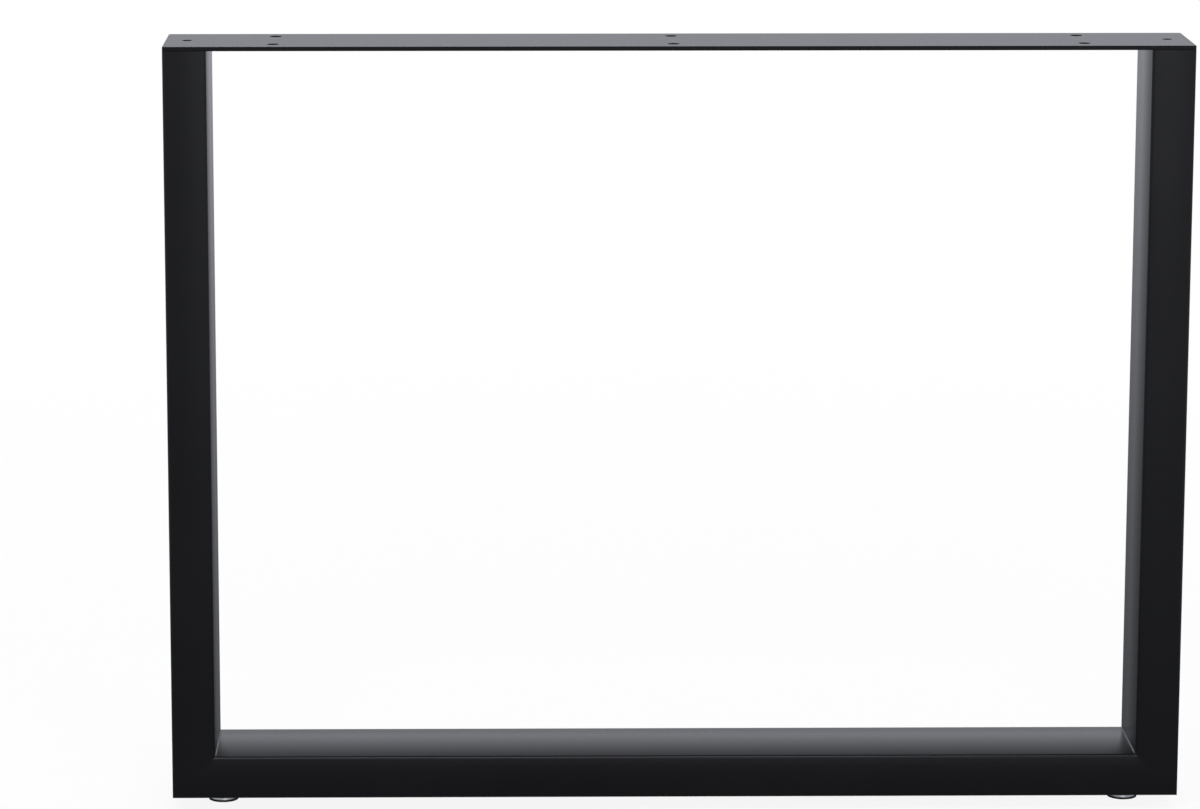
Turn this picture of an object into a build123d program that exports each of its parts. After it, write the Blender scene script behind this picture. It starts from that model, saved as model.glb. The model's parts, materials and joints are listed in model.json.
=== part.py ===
from build123d import *
import os

# Closed table leg of rectangular steel tube, in millimetres.
# X runs along the leg's width, Y through the tube's depth, Z up.
# The origin is on the floor, under the middle of the leg.

# Overall sizes
leg_width = 940.0
leg_height = 720.0

# Rectangular tube of the uprights and the runner
tube_face = 40.0
tube_depth = 100.0
tube_wall = 2.0
tube_radius = 2.5

# Top plate
plate_thickness = 4.0
plate_edge_break = 0.5
mount_hole_diameter = 11.0
mount_end_inset = 100.0
mount_row_inset = 20.0
mount_middle_x = -5.0
vent_hole_diameter = 9.0

# Weld beads
weld_leg = 1.2
weld_crown = 0.2

# Levelling feet
foot_inset = 45.0
foot_gap = 14.0
thread_diameter = 8.0
thread_length = 27.0
thread_clearance = 0.08
swivel_clearance = 0.3
seat_clearance = 0.2

# Rivet nut
nut_flange_diameter = 16.0
nut_flange_thickness = 1.5
nut_body_diameter = 11.0
nut_bulge_diameter = 14.5
nut_bulge_length = 4.5
nut_length = 17.0
nut_hole_clearance = 0.05

# Stud below the thread
hex_across_flats = 12.0
hex_height = 3.6
neck_diameter = 5.5
swivel_diameter = 9.0
swivel_rim = 0.8

# Cap and sole
base_diameter = 26.6
base_side = 3.8
base_sheet = 1.0
collar_diameter = 13.0
pad_diameter = 28.0
pad_floor = 0.8
pad_lip = 1.0
pad_clearance = 0.1

# Places that follow from the sizes
half_width = leg_width / 2
inner_x = half_width - tube_face
plate_underside = leg_height - plate_thickness
runner_top = foot_gap + tube_face
foot_x = half_width - foot_inset
thread_radius = thread_diameter / 2
nut_underside = foot_gap - nut_flange_thickness
hex_top = nut_underside - seat_clearance
hex_bottom = hex_top - hex_height
pad_top = pad_floor + pad_lip
shoulder = pad_floor + base_side
collar_top = hex_bottom - swivel_clearance

SIDES = {"left": -1, "right": 1}


def tube_section(width, depth):
    """Ring of the rectangular tube: rounded outside, and inside by what the wall leaves."""
    inner_radius = max(tube_radius - tube_wall, tube_wall / 4)
    outside = RectangleRounded(width, depth, tube_radius)
    inside = RectangleRounded(width - 2 * tube_wall, depth - 2 * tube_wall, inner_radius)
    return outside - inside


def mitre_plane(side):
    """Plane through the outer lower corner and the inner corner, facing the upright."""
    return Plane(
        origin=(side * half_width, 0, foot_gap),
        x_dir=(0, 1, 0),
        z_dir=(side, 0, 1),
    )


def upright(side):
    """Tube from the mitre up to the plate."""
    middle_x = side * (half_width - tube_face / 2)
    section = Pos(middle_x, 0, foot_gap) * tube_section(tube_face, tube_depth)
    blank = extrude(section, plate_underside - foot_gap)
    return split(blank, bisect_by=mitre_plane(side), keep=Keep.TOP)


def bottom_runner():
    """Tube lying between the two mitres, with a hole for each rivet nut in its lower wall."""
    middle_z = foot_gap + tube_face / 2
    across = Plane(origin=(0, 0, middle_z), x_dir=(0, 1, 0), z_dir=(1, 0, 0))
    runner = extrude(across * tube_section(tube_depth, tube_face), half_width, both=True)
    hole_radius = nut_body_diameter / 2 + nut_hole_clearance
    for side in SIDES.values():
        runner = split(runner, bisect_by=mitre_plane(side), keep=Keep.BOTTOM)
        runner -= Pos(side * foot_x, 0, foot_gap) * Cylinder(hole_radius, 3 * tube_wall)
    return runner


def top_plate():
    """Flat bar with three pairs of mounting holes and a vent hole over each upright."""
    outline = RectangleRounded(leg_width, tube_depth, tube_radius)
    mount_x = half_width - mount_end_inset
    mount_y = tube_depth / 2 - mount_row_inset
    mounts = [Pos(x, y) * Circle(mount_hole_diameter / 2)
              for x in (-mount_x, mount_middle_x, mount_x) for y in (-mount_y, mount_y)]
    vents = [Pos(side * (half_width - tube_face / 2), 0) * Circle(vent_hole_diameter / 2)
             for side in SIDES.values()]
    bar = extrude(outline, plate_thickness)
    rims = bar.faces().sort_by(Axis.Z)[0].edges() + bar.faces().sort_by(Axis.Z)[-1].edges()
    bar = chamfer(rims, plate_edge_break)
    holes = extrude(Sketch() + mounts + vents, plate_thickness)
    return Pos(0, 0, plate_underside) * (bar - holes)


def weld_bead(side, z, rise):
    """Crowned fillet in the corner at an upright's inner face; rise is +1 above z and -1 below it."""
    corner = (side * inner_x, z)
    along = (side * (inner_x - weld_leg), z)
    up = (side * inner_x, z + rise * weld_leg)
    reach = weld_leg / 2 + weld_crown
    crown = (side * (inner_x - reach), z + rise * reach)
    outline = Line(corner, along) + ThreePointArc(along, crown, up) + Line(up, corner)
    section = Plane.XZ * make_face(outline)
    return extrude(section, tube_depth / 2 - tube_radius, both=True)


def turned(points):
    """Solid of revolution about Z from points (radius, height)."""
    return revolve(Plane.XZ * make_face(Polyline(*points, close=True)), Axis.Z)


def rivet_nut(side):
    """Flanged insert: its upset bulge holds the tube's lower wall against the flange."""
    bore = thread_radius + thread_clearance
    flange = nut_flange_diameter / 2
    body = nut_body_diameter / 2
    bulge = nut_bulge_diameter / 2
    wall_top = foot_gap + tube_wall
    nut = turned([
        (bore, nut_underside),
        (flange, nut_underside),
        (flange, foot_gap),
        (body, foot_gap),
        (body, wall_top),
        (bulge, wall_top),
        (body, wall_top + nut_bulge_length),
        (body, nut_underside + nut_length),
        (bore, nut_underside + nut_length),
    ])
    return Pos(side * foot_x, 0, 0) * nut


def foot_stud(side):
    """Stud with its thread's outer cylinder, a hexagon for a spanner and a flared swivel end."""
    swivel_bottom = pad_floor + seat_clearance
    thread_top = hex_top + thread_length
    shank = turned([
        (0, swivel_bottom),
        (swivel_diameter / 2, swivel_bottom),
        (swivel_diameter / 2, swivel_bottom + swivel_rim),
        (neck_diameter / 2, collar_top - base_sheet - swivel_clearance),
        (neck_diameter / 2, hex_bottom),
        (thread_radius, hex_bottom),
        (thread_radius, thread_top),
        (0, thread_top),
    ])
    hexagon = Pos(0, 0, hex_bottom) * RegularPolygon(hex_across_flats / 2, 6, major_radius=False)
    return Pos(side * foot_x, 0, 0) * (shank + extrude(hexagon, hex_height))


def foot_base(side):
    """Cap pressed from sheet: a side, a flat shoulder and a collar that holds the stud's flared end."""
    rim = base_diameter / 2
    collar = collar_diameter / 2
    mouth = neck_diameter / 2 + swivel_clearance
    cap = turned([
        (rim, pad_floor),
        (rim, shoulder),
        (collar, shoulder),
        (collar, collar_top),
        (mouth, collar_top),
        (mouth, collar_top - base_sheet),
        (collar - base_sheet, collar_top - base_sheet),
        (collar - base_sheet, shoulder - base_sheet),
        (rim - base_sheet, shoulder - base_sheet),
        (rim - base_sheet, pad_floor),
    ])
    return Pos(side * foot_x, 0, 0) * cap


def foot_pad(side):
    """Shallow cup that the cap stands in."""
    outer = pad_diameter / 2
    inner = base_diameter / 2 + pad_clearance
    cup = Pos(0, 0, pad_top / 2) * Cylinder(outer, pad_top)
    cup -= Pos(0, 0, pad_top) * Cylinder(inner, 2 * pad_lip)
    return Pos(side * foot_x, 0, 0) * cup


parts = {"top_plate": top_plate(), "bottom_runner": bottom_runner()}
for name, side in SIDES.items():
    parts[f"upright_{name}"] = upright(side)
    parts[f"mitre_weld_{name}"] = weld_bead(side, runner_top, 1)
    parts[f"plate_weld_{name}"] = weld_bead(side, plate_underside, -1)
    parts[f"rivet_nut_{name}"] = rivet_nut(side)
    parts[f"foot_stud_{name}"] = foot_stud(side)
    parts[f"foot_base_{name}"] = foot_base(side)
    parts[f"foot_pad_{name}"] = foot_pad(side)

os.makedirs("parts", exist_ok=True)
for name, solid in parts.items():
    export_step(solid, f"parts/{name}.step")
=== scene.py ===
"""Looks of a closed table leg: satin black powder coat, levelling feet and a white studio."""
import json
from math import cos, pi, radians, sin, sqrt, tan

import bmesh
import bpy
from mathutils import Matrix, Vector


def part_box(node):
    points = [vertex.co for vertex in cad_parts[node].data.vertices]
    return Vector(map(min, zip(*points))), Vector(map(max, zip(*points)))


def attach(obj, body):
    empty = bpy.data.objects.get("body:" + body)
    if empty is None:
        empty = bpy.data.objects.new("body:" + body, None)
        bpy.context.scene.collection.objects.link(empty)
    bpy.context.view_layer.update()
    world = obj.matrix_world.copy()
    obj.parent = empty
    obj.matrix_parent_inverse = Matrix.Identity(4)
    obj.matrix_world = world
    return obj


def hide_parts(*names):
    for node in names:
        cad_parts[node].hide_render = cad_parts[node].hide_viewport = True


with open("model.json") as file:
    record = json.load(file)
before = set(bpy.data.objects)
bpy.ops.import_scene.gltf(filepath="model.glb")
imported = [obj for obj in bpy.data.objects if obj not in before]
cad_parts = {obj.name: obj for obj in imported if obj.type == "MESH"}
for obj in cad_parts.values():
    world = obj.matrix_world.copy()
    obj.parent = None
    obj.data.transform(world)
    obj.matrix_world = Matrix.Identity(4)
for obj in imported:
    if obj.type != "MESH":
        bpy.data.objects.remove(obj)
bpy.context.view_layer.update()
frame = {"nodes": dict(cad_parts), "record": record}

SIDES = {"left": -1, "right": 1}

# Camera: metres, degrees, and millimetres of lens and sensor
CAMERA_PLACE = (-0.181, -4.232, 1.227)
CAMERA_PITCH = 10.59
CAMERA_YAW = -0.64
CAMERA_LENS = 139.05
CAMERA_SENSOR = 36.0
CAMERA_SHIFT = (0.0567, -0.05)

# Faint blue of the studio's light
STUDIO_TINT = (0.9, 0.92, 1.0)

# Sky's strength and its width in degrees, and the lamps in metres and watts
SKY_STRENGTH = 1.3
SKY_ANGLE = 70.0
LAMPS = {
    "front": {"place": (0.7, -4.6, 0.75), "aim": (0.0, 0.0, 0.4), "size": (2.0, 1.4), "watts": 9.5},
    "upper": {"place": (-0.2, -2.2, 2.6), "aim": (-0.2, 0.0, 0.05), "size": (2.0, 1.2), "watts": 50.0},
}

# World: how far up it turns from the white horizon to the dim zenith, and its strength at both
WORLD_TURN = (0.35, 0.8)
WORLD_LIGHT = (0.85, 0.25)

# Floor: its size in metres and its white
FLOOR_SIZE = 60.0
FLOOR_WHITE = 0.86

# Share of the world's white that the camera sees through the floor, from near the leg to far off
CLEAR_REACH = (0.6, 2.5)
CLEAR_SHARE = (0.9, 1.0)

# Floor's painted glow in reflections, with painted shade near the leg, from near the leg to far off
MIRROR_REACH = (0.3, 6.0)
MIRROR_GLOW = (0.21, 0.85)

# Wedge on each side of the leg where that painted glow rises faster: how far out it starts,
# how much further for each metre along Y, and how many times faster the glow rises
WEDGE_START = 0.5
WEDGE_SLOPE = 0.3
WEDGE_RATE = 8.0

# Painted shade in reflections, a dim oval on the floor in front: its middle, what a metre along Y counts
# for, and its fall
DIM_PLACE = (-1.8, -3.5)
DIM_ALONG_Y = 0.4
DIM_REACH = (0.4, 1.9)
DIM_SHARE = (0.5, 1.0)

# Powder coat. A noise has its cells per metre and its detail, a bump its strength and its height in metres.
COAT_PEEL = (900.0, 3.0)
COAT_DRIFT = (9.0, 4.0)
COAT_COLOURS = ((0.004, 0.004, 0.0046), (0.0062, 0.0062, 0.007))
COAT_ROUGHNESS = (0.24, 0.28)
COAT_SPECULAR = 0.2
COAT_BUMP = (0.06, 0.0004)

# Zinc plate
ZINC_DRIFT = (160.0, 5.0)
ZINC_COLOURS = ((0.52, 0.525, 0.53), (0.62, 0.62, 0.62))
ZINC_ROUGHNESS = (0.28, 0.4)

# Rubber of the soles
SOLE_GRAIN = (2200.0, 3.0)
SOLE_COLOURS = ((0.004, 0.004, 0.004), (0.010, 0.010, 0.010))
SOLE_ROUGHNESS = (0.55, 0.68)
SOLE_BUMP = (0.2, 0.0002)

# Range of a noise, and the bump of a height that is in metres already
NOISE_RANGE = (0.0, 1.0)
TRUE_BUMP = (1.0, 1.0)

# Crown of the tubes' faces, in shading only: how softly it turns the inner corners, in metres,
# and its fall across the narrow and the wide faces, in metres per square metre
CROWN_CORNER = 0.006
CROWN_NARROW = 3.4
CROWN_WIDE = 1.8

# Slope of the plate's cut edges, in shading only: they lean in towards the bottom
EDGE_SLOPE = 0.09

# Thread of a stud, in metres, with the share of its pitch that its crests and its roots each lie flat,
# and its rings for each turn
THREAD_RADIUS = 0.00395
THREAD_DEPTH = 0.00072
THREAD_PITCH = 0.00125
THREAD_FLAT = 3 / 11
THREAD_ROWS = 8

# Hexagon of a stud, in metres: its height, and how far its flats and its end faces reach.
# Its chamfer is in degrees.
HEX_SIDES = 6
HEX_HEIGHT = 0.0036
HEX_FLAT = 0.006
HEX_FACE = 0.00582
HEX_CHAMFER = 30.0

# Neck and flared end of a stud, in metres, with their gap to the cap
NECK_RADIUS = 0.00275
SWIVEL_RADIUS = 0.0045
SWIVEL_RIM = 0.0008
SWIVEL_GAP = 0.0003

# Cap, in metres: the height and lean of its side, its sheet, its bends and its collar
CAP_SIDE = 0.0038
CAP_LEAN = 0.0007
CAP_SHEET = 0.001
CAP_BEND = 0.0012
COLLAR_RADIUS = 0.0065

# Gap between a cap and its sole, in metres
SOLE_GAP = 0.0001

# Rounded edges: their size in metres, their steps, and the most that one takes of a side
EDGE_ROUND = 0.0003
ROUND_STEPS = 4
ROUND_SHARE = 0.45

# Points round a stud, and round a cap or a sole
STUD_POINTS = 36
DISC_POINTS = 64

# Weld beads: sections along a bead and points across it, its ripples with their depth,
# the share of its length in which it grows from each end, where that growth starts, and its hollow
WELD_SECTIONS = 190
WELD_POINTS = 8
WELD_RIPPLES = 62
WELD_RIPPLE_DEPTH = 0.07
WELD_END = 1 / 14
WELD_END_START = 0.02
WELD_HOLLOW = 0.22

# Edges of a piece that turn by more than this, in degrees, are shaded sharp
SHARP_ANGLE = 35.0


def middle(node, axis):
    """Middle of a CAD node along an axis by number."""
    low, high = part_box(node)
    return (low[axis] + high[axis]) / 2


def add_object(name, data):
    """New object in the scene."""
    thing = bpy.data.objects.new(name, data)
    bpy.context.scene.collection.objects.link(thing)
    return thing


def add_piece(name, bm, material, body, node):
    """Mesh object from bm that rides on a body and stands for a CAD node."""
    bmesh.ops.recalc_face_normals(bm, faces=bm.faces)
    mesh = bpy.data.meshes.new(name)
    bm.to_mesh(mesh)
    bm.free()
    mesh.materials.append(material)
    mesh.shade_smooth()
    mesh.set_sharp_from_angle(angle=radians(SHARP_ANGLE))
    piece = add_object(name, mesh)
    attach(piece, body)
    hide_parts(node)


def skin(rings, loop=False):
    """Closed form over rings of points: both ends are closed, or with loop the last ring joins the first."""
    bm = bmesh.new()
    made = [[bm.verts.new(point) for point in points] for points in rings]
    pairs = list(zip(made, made[1:]))
    if loop:
        pairs.append((made[-1], made[0]))
    else:
        bm.faces.new(made[0])
        bm.faces.new(made[-1])
    for low, high in pairs:
        for i in range(len(low)):
            bm.faces.new((low[i - 1], low[i], high[i], high[i - 1]))
    return bm


def angles(count):
    """Even angles once round a circle."""
    return [2 * pi * i / count for i in range(count)]


def spot(x, radius, angle, z):
    """Point round a foot's axis."""
    return (x + radius * cos(angle), radius * sin(angle), z)


def ring(x, radius, z, count):
    """Level circle of points round a foot's axis."""
    return [spot(x, radius, angle, z) for angle in angles(count)]


def turned(x, profile, count):
    """Rings of a turned form round a foot's axis from a profile of (radius, height) points."""
    return [ring(x, radius, z, count) for radius, z in profile]


def rounded(points, size):
    """Profile of (radius, height) points with its inner corners rounded to about size."""
    out = [points[0]]
    for corner in zip(points, points[1:], points[2:]):
        before, here, after = (Vector(point) for point in corner)
        cut = min(size, (before - here).length * ROUND_SHARE, (after - here).length * ROUND_SHARE)
        start = here + (before - here).normalized() * cut
        end = here + (after - here).normalized() * cut
        for k in range(ROUND_STEPS + 1):
            t = k / ROUND_STEPS
            out.append(tuple(start * (1 - t) ** 2 + here * (2 * t * (1 - t)) + end * t ** 2))
    out.append(points[-1])
    return out


def thread(x, bottom, top):
    """Rings of a right-hand thread: crests and roots wind up the shank, and its upper end is chamfered."""
    root = THREAD_RADIUS - THREAD_DEPTH
    rows = int((top - bottom) / THREAD_PITCH * THREAD_ROWS)
    rings = []
    for k in range(rows + 1):
        z = bottom + (top - bottom) * k / rows
        points = []
        for i, angle in enumerate(angles(STUD_POINTS)):
            phase = ((z - bottom) / THREAD_PITCH - i / STUD_POINTS) % 1.0
            ridge = (abs(2 * phase - 1) - THREAD_FLAT) / (1 - 2 * THREAD_FLAT)
            radius = root + THREAD_DEPTH * min(max(ridge, 0.0), 1.0)
            points.append(spot(x, min(radius, root + top - z), angle, z))
        rings.append(points)
    return rings


def hexagon(x, bottom, top):
    """Rings of a hexagon for a spanner, with its corners chamfered above and below."""
    side = 2 * pi / HEX_SIDES
    slope = tan(radians(HEX_CHAMFER))
    lower = []
    upper = []
    for angle in angles(STUD_POINTS):
        reach = HEX_FLAT / cos(angle % side - side / 2)
        fall = (reach - HEX_FACE) * slope
        lower.append(spot(x, reach, angle, bottom + fall))
        upper.append(spot(x, reach, angle, top - fall))
    return [ring(x, HEX_FACE, bottom, STUD_POINTS), lower, upper, ring(x, HEX_FACE, top, STUD_POINTS)]


def threaded_stud(name, x, zinc):
    """Stud of a foot in one skin: flared end, neck, hexagon and thread."""
    node = f"foot_stud_{name}"
    low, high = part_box(node)
    collar_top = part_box(f"foot_base_{name}")[1].z
    hex_bottom = collar_top + SWIVEL_GAP
    hex_top = hex_bottom + HEX_HEIGHT
    profile = [
        (0, low.z),
        (SWIVEL_RADIUS, low.z),
        (SWIVEL_RADIUS, low.z + SWIVEL_RIM),
        (NECK_RADIUS, collar_top - CAP_SHEET - SWIVEL_GAP),
        (NECK_RADIUS, hex_bottom),
    ]
    rings = turned(x, rounded(profile, EDGE_ROUND)[1:], STUD_POINTS)
    rings += hexagon(x, hex_bottom, hex_top)
    rings += thread(x, hex_top, high.z)
    add_piece(f"threaded_stud_{name}", skin(rings), zinc, f"stud_{name}", node)


def swivel_cap(name, x, zinc):
    """Cap of a foot, pressed from sheet: a side that leans in, a shoulder and a collar."""
    node = f"foot_base_{name}"
    low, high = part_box(node)
    rim = (high.x - low.x) / 2
    mouth = NECK_RADIUS + SWIVEL_GAP
    shoulder = low.z + CAP_SIDE
    start = (rim - CAP_SHEET / 2, low.z)
    profile = [
        start,
        (rim, low.z),
        (rim - CAP_LEAN, shoulder),
        (COLLAR_RADIUS, shoulder),
        (COLLAR_RADIUS, high.z),
        (mouth, high.z),
        (mouth, high.z - CAP_SHEET),
        (COLLAR_RADIUS - CAP_SHEET, high.z - CAP_SHEET),
        (COLLAR_RADIUS - CAP_SHEET, shoulder - CAP_SHEET),
        (rim - CAP_LEAN - CAP_SHEET, shoulder - CAP_SHEET),
        (rim - CAP_SHEET, low.z),
        start,
    ]
    rings = turned(x, rounded(profile, CAP_BEND)[1:], DISC_POINTS)
    add_piece(f"swivel_cap_{name}", skin(rings, loop=True), zinc, f"foot_{name}", node)


def sole(name, x, rubber):
    """Sole of a foot: a shallow cup with rounded edges that the cap stands in."""
    node = f"foot_pad_{name}"
    low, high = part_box(node)
    cap_low, cap_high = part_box(f"foot_base_{name}")
    outer = (high.x - low.x) / 2
    inner = (cap_high.x - cap_low.x) / 2 + SOLE_GAP
    profile = [
        (0, low.z),
        (outer, low.z),
        (outer, high.z),
        (inner, high.z),
        (inner, cap_low.z),
        (0, cap_low.z),
    ]
    rings = turned(x, rounded(profile, EDGE_ROUND)[1:-1], DISC_POINTS)
    add_piece(f"sole_{name}", skin(rings), rubber, f"foot_{name}", node)


def weld_bead(node, side, rise, coat):
    """Rippled bead in an inner corner, in place of the plain fillet.
    Side is -1 for left and +1 for right, and rise is +1 above the corner and -1 below it."""
    low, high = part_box(node)
    corner_x = low.x if side < 0 else high.x
    corner_z = low.z if rise > 0 else high.z
    rings = []
    for k in range(WELD_SECTIONS + 1):
        t = k / WELD_SECTIONS
        y = low.y + (high.y - low.y) * t
        end = max(min(1.0, t / WELD_END, (1 - t) / WELD_END), WELD_END_START)
        ripple = 1 - WELD_RIPPLE_DEPTH * (1 - sin(pi * (t * WELD_RIPPLES % 1.0)))
        size = (high.z - low.z) * sqrt(end) * ripple
        points = [(corner_x, y, corner_z)]
        for i in range(WELD_POINTS + 1):
            angle = pi / 2 * i / WELD_POINTS
            reach = size * (1 - WELD_HOLLOW * sin(2 * angle))
            points.append((corner_x - side * reach * cos(angle), y, corner_z + rise * reach * sin(angle)))
        rings.append(points)
    add_piece(node.replace("weld", "bead"), skin(rings), coat, "frame", node)


class Graph:
    """Node tree of a material or a world, emptied first, with short calls for the nodes used here."""

    def __init__(self, owner):
        owner.use_nodes = True
        self.nodes = owner.node_tree.nodes
        self.links = owner.node_tree.links
        self.nodes.clear()

    def node(self, kind, inputs=None):
        """New node whose inputs, by name or by number, are linked to a socket or set to a value."""
        node = self.nodes.new(f"ShaderNode{kind}")
        for key, value in (inputs or {}).items():
            if isinstance(value, bpy.types.NodeSocket):
                self.links.new(value, node.inputs[key])
            else:
                node.inputs[key].default_value = value
        return node

    def place(self, system="Object"):
        """Coordinates of a place, by default the object's own in metres."""
        return self.node("TexCoord").outputs[system]

    def axes(self, place):
        """X, Y and Z of a place."""
        return self.node("SeparateXYZ", {"Vector": place}).outputs

    def math(self, operation, *terms):
        """Result of a Math node on sockets or numbers."""
        node = self.node("Math", dict(enumerate(terms)))
        node.operation = operation
        return node.outputs["Value"]

    def distance(self, *terms):
        """Root of the sum of two squares."""
        squares = [self.math("POWER", term, 2.0) for term in terms]
        return self.math("SQRT", self.math("ADD", *squares))

    def span(self, value, reach, result, easing="LINEAR"):
        """Takes a value's reach to a result's range and holds it there at both ends."""
        ends = {"From Min": reach[0], "From Max": reach[1], "To Min": result[0], "To Max": result[1]}
        node = self.node("MapRange", {"Value": value, **ends})
        node.interpolation_type = easing
        return node.outputs["Result"]

    def noise(self, place, scale, detail):
        """Noise over a place, in cells per metre."""
        return self.node("TexNoise", {"Vector": place, "Scale": scale, "Detail": detail}).outputs["Fac"]

    def colour(self, factor, colours):
        """Colour that runs from the first to the second of two with a factor."""
        node = self.node("ValToRGB", {"Fac": factor})
        for stop, shade in zip(node.color_ramp.elements, colours):
            stop.color = (*shade, 1)
        return node.outputs["Color"]

    def bump(self, height, strength, distance, under=None):
        """Normal that a height bends, on top of another normal where there is one."""
        inputs = {"Height": height, "Strength": strength, "Distance": distance}
        if under is not None:
            inputs["Normal"] = under
        return self.node("Bump", inputs).outputs["Normal"]

    def mix(self, factor, first, second):
        """Shader that runs from the first to the second with a factor."""
        return self.node("MixShader", {"Fac": factor, 1: first, 2: second}).outputs["Shader"]

    def surface(self, inputs):
        """Ends a material in one Principled shader."""
        shader = self.node("BsdfPrincipled", inputs)
        self.node("OutputMaterial", {"Surface": shader.outputs["BSDF"]})


def crown_height(graph, place):
    """Height of the tubes' slightly crowned faces over flat ones, in metres, from the place in the leg.
    Across the narrow faces it falls off from the tubes' middle line, which turns the corners."""
    x, y, z = graph.axes(place)
    side = graph.math("SUBTRACT", graph.math("ABSOLUTE", x), middle("upright_right", 0))
    down = graph.math("SUBTRACT", middle("bottom_runner", 2), z)
    outer = graph.distance(graph.math("MAXIMUM", side, 0.0), graph.math("MAXIMUM", down, 0.0))
    inner = graph.math("MINIMUM", graph.math("SMOOTH_MAX", side, down, CROWN_CORNER), 0.0)
    off_line = graph.math("ADD", outer, inner)
    narrow = graph.math("MULTIPLY", graph.math("MULTIPLY", off_line, off_line), CROWN_NARROW)
    wide = graph.math("MULTIPLY", graph.math("MULTIPLY", y, y), CROWN_WIDE)
    return graph.math("MULTIPLY", graph.math("ADD", narrow, wide), -1.0)


def edge_height(graph, place):
    """Height of the plate's edges over upright ones, in metres, which leaves its flat faces as they are."""
    return graph.math("MULTIPLY", graph.axes(place)["Z"], EDGE_SLOPE)


def powder_coat(name, form=None):
    """Satin black coat with a fine orange peel, whose colour and gloss vary slightly.
    With a form, it follows that form's height too."""
    material = bpy.data.materials.new(name)
    graph = Graph(material)
    place = graph.place()
    peel = graph.noise(place, *COAT_PEEL)
    drift = graph.noise(place, *COAT_DRIFT)
    under = graph.bump(form(graph, place), *TRUE_BUMP) if form else None
    graph.surface({
        "Base Color": graph.colour(drift, COAT_COLOURS),
        "Roughness": graph.span(peel, NOISE_RANGE, COAT_ROUGHNESS),
        "Specular IOR Level": COAT_SPECULAR,
        "Normal": graph.bump(peel, *COAT_BUMP, under),
    })
    return material


def zinc_plate():
    """Zinc on steel, whose colour and gloss vary slightly."""
    material = bpy.data.materials.new("zinc_plate")
    graph = Graph(material)
    drift = graph.noise(graph.place(), *ZINC_DRIFT)
    graph.surface({
        "Base Color": graph.colour(drift, ZINC_COLOURS),
        "Metallic": 1.0,
        "Roughness": graph.span(drift, NOISE_RANGE, ZINC_ROUGHNESS),
    })
    return material


def foot_sole():
    """Matt black rubber with a fine grain."""
    material = bpy.data.materials.new("foot_sole")
    graph = Graph(material)
    grain = graph.noise(graph.place(), *SOLE_GRAIN)
    graph.surface({
        "Base Color": graph.colour(grain, SOLE_COLOURS),
        "Roughness": graph.span(grain, NOISE_RANGE, SOLE_ROUGHNESS),
        "Normal": graph.bump(grain, *SOLE_BUMP),
    })
    return material


def dress():
    """Gives each CAD node its material, and adds the detailed pieces."""
    coat = powder_coat("powder_coat")
    tube_coat = powder_coat("powder_coat_tube", crown_height)
    zinc = zinc_plate()
    rubber = foot_sole()
    by_slot = {"powder_coat": coat, "zinc_plate": zinc, "foot_sole": rubber}
    by_node = {name: tube_coat for name in ("bottom_runner", "upright_left", "upright_right")}
    by_node["top_plate"] = powder_coat("powder_coat_plate", edge_height)
    for entry in frame["record"]["subparts"]:
        name = entry["node"]
        mesh = frame["nodes"][name].data
        mesh.materials.clear()
        mesh.materials.append(by_node.get(name, by_slot[entry["material_slot"]]))
    for name, side in SIDES.items():
        foot_x = middle(f"foot_pad_{name}", 0)
        threaded_stud(name, foot_x, zinc)
        swivel_cap(name, foot_x, zinc)
        sole(name, foot_x, rubber)
        weld_bead(f"mitre_weld_{name}", side, 1, coat)
        weld_bead(f"plate_weld_{name}", side, -1, coat)


def painted_floor_glow(graph, x, y):
    """Floor's painted glow in reflections: painted shade near the leg, where a lit floor would be dimmer,
    brighter far off and in a wedge on each side, and painted shade in an oval in front."""
    edge = graph.math("MULTIPLY", graph.math("ABSOLUTE", y), WEDGE_SLOPE)
    edge = graph.math("ADD", edge, WEDGE_START)
    beside = graph.math("SUBTRACT", graph.math("ABSOLUTE", x), edge)
    beside = graph.math("MULTIPLY", graph.math("MAXIMUM", beside, 0.0), WEDGE_RATE)
    # Painted glow that rises away from the leg, and painted shade in the oval in front
    mirror = graph.span(graph.distance(beside, y), MIRROR_REACH, MIRROR_GLOW)
    dim_x = graph.math("SUBTRACT", x, DIM_PLACE[0])
    dim_y = graph.math("MULTIPLY", graph.math("SUBTRACT", y, DIM_PLACE[1]), DIM_ALONG_Y)
    dim = graph.span(graph.distance(dim_x, dim_y), DIM_REACH, DIM_SHARE)
    return graph.math("MULTIPLY", mirror, dim)


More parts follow.
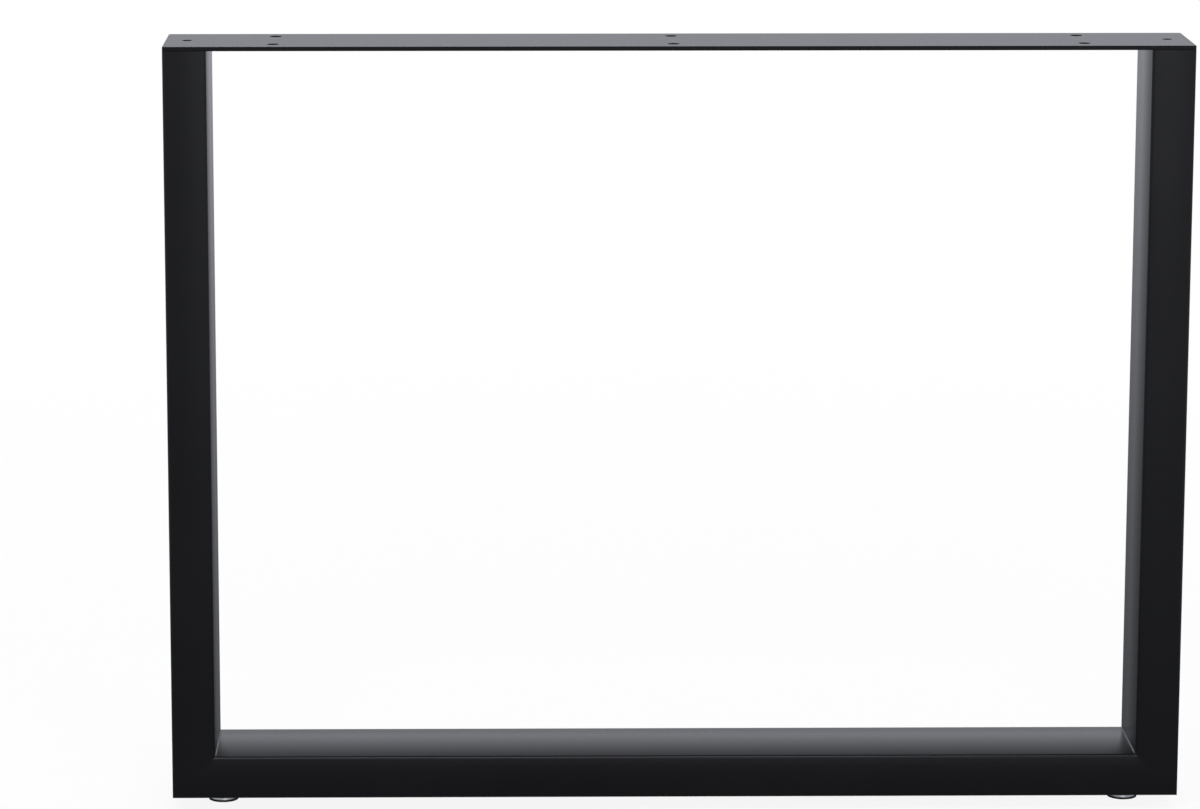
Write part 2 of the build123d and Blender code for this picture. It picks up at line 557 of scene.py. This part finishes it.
def studio_floor():
    """Large white floor that keeps a soft shadow, and in reflections shows a painted glow of its own.
    The camera sees the world's white through it, and so a foot that is screwed out below floor level."""
    bpy.ops.mesh.primitive_plane_add(size=FLOOR_SIZE, location=(0, 0, 0))
    floor = bpy.context.object
    floor.name = "floor"
    material = bpy.data.materials.new("floor_white")
    graph = Graph(material)
    path = graph.node("LightPath").outputs
    x, y, _ = graph.axes(graph.place())
    matt = graph.node("BsdfDiffuse", {"Color": (FLOOR_WHITE, FLOOR_WHITE, FLOOR_WHITE, 1)})
    clear = graph.node("BsdfTransparent")
    share = graph.span(graph.distance(x, y), CLEAR_REACH, CLEAR_SHARE)
    share = graph.math("MULTIPLY", share, path["Is Camera Ray"])
    seen = graph.mix(share, matt.outputs["BSDF"], clear.outputs["BSDF"])
    # Painted glow seen in reflections, with painted shade near the leg and in an oval in front
    glow = graph.node("Emission", {"Color": (*STUDIO_TINT, 1), "Strength": painted_floor_glow(graph, x, y)})
    surface = graph.mix(path["Is Glossy Ray"], seen, glow.outputs["Emission"])
    graph.node("OutputMaterial", {"Surface": surface})
    floor.data.materials.append(material)


def studio_world():
    """White all round for the camera. As light, and in reflections, it is white round the horizon
    and dim overhead."""
    world = bpy.data.worlds.new("studio")
    bpy.context.scene.world = world
    graph = Graph(world)
    path = graph.node("LightPath").outputs
    height = graph.axes(graph.place("Generated"))["Z"]
    strength = graph.span(height, WORLD_TURN, WORLD_LIGHT, "SMOOTHSTEP")
    lit = graph.node("Background", {"Color": (*STUDIO_TINT, 1), "Strength": strength})
    white = graph.node("Background", {"Color": (1, 1, 1, 1)})
    surface = graph.mix(path["Is Camera Ray"], lit.outputs["Background"], white.outputs["Background"])
    graph.node("OutputWorld", {"Surface": surface})


def sky_lamp():
    """Light from a wide patch of sky overhead, which whitens the floor and leaves a soft shadow.
    It is kept out of reflections, where the world stands for the sky."""
    data = bpy.data.lights.new("sky", "SUN")
    data.energy = SKY_STRENGTH
    data.angle = radians(SKY_ANGLE)
    lamp = add_object("sky", data)
    lamp.visible_glossy = False


def studio_lamp(name, place, aim, size, watts):
    """Soft lamp of a width and a height at place, turned to aim, that the camera doesn't see."""
    data = bpy.data.lights.new(name, "AREA")
    data.shape = "RECTANGLE"
    data.size, data.size_y = size
    data.color = STUDIO_TINT
    data.energy = watts
    lamp = add_object(name, data)
    lamp.location = place
    lamp.rotation_euler = (Vector(aim) - Vector(place)).to_track_quat("-Z", "Y").to_euler()
    lamp.visible_camera = False


def set_camera():
    """Camera at the photograph's viewing angle."""
    data = bpy.data.cameras.new("camera")
    data.sensor_width = CAMERA_SENSOR
    data.lens = CAMERA_LENS
    data.shift_x, data.shift_y = CAMERA_SHIFT
    camera = add_object("camera", data)
    camera.location = CAMERA_PLACE
    camera.rotation_euler = (radians(90 - CAMERA_PITCH), 0, radians(CAMERA_YAW))
    bpy.context.scene.camera = camera


dress()
studio_floor()
studio_world()
sky_lamp()
for name, lamp in LAMPS.items():
    studio_lamp(name, **lamp)
set_camera()
bpy.context.scene.view_settings.view_transform = "Standard"
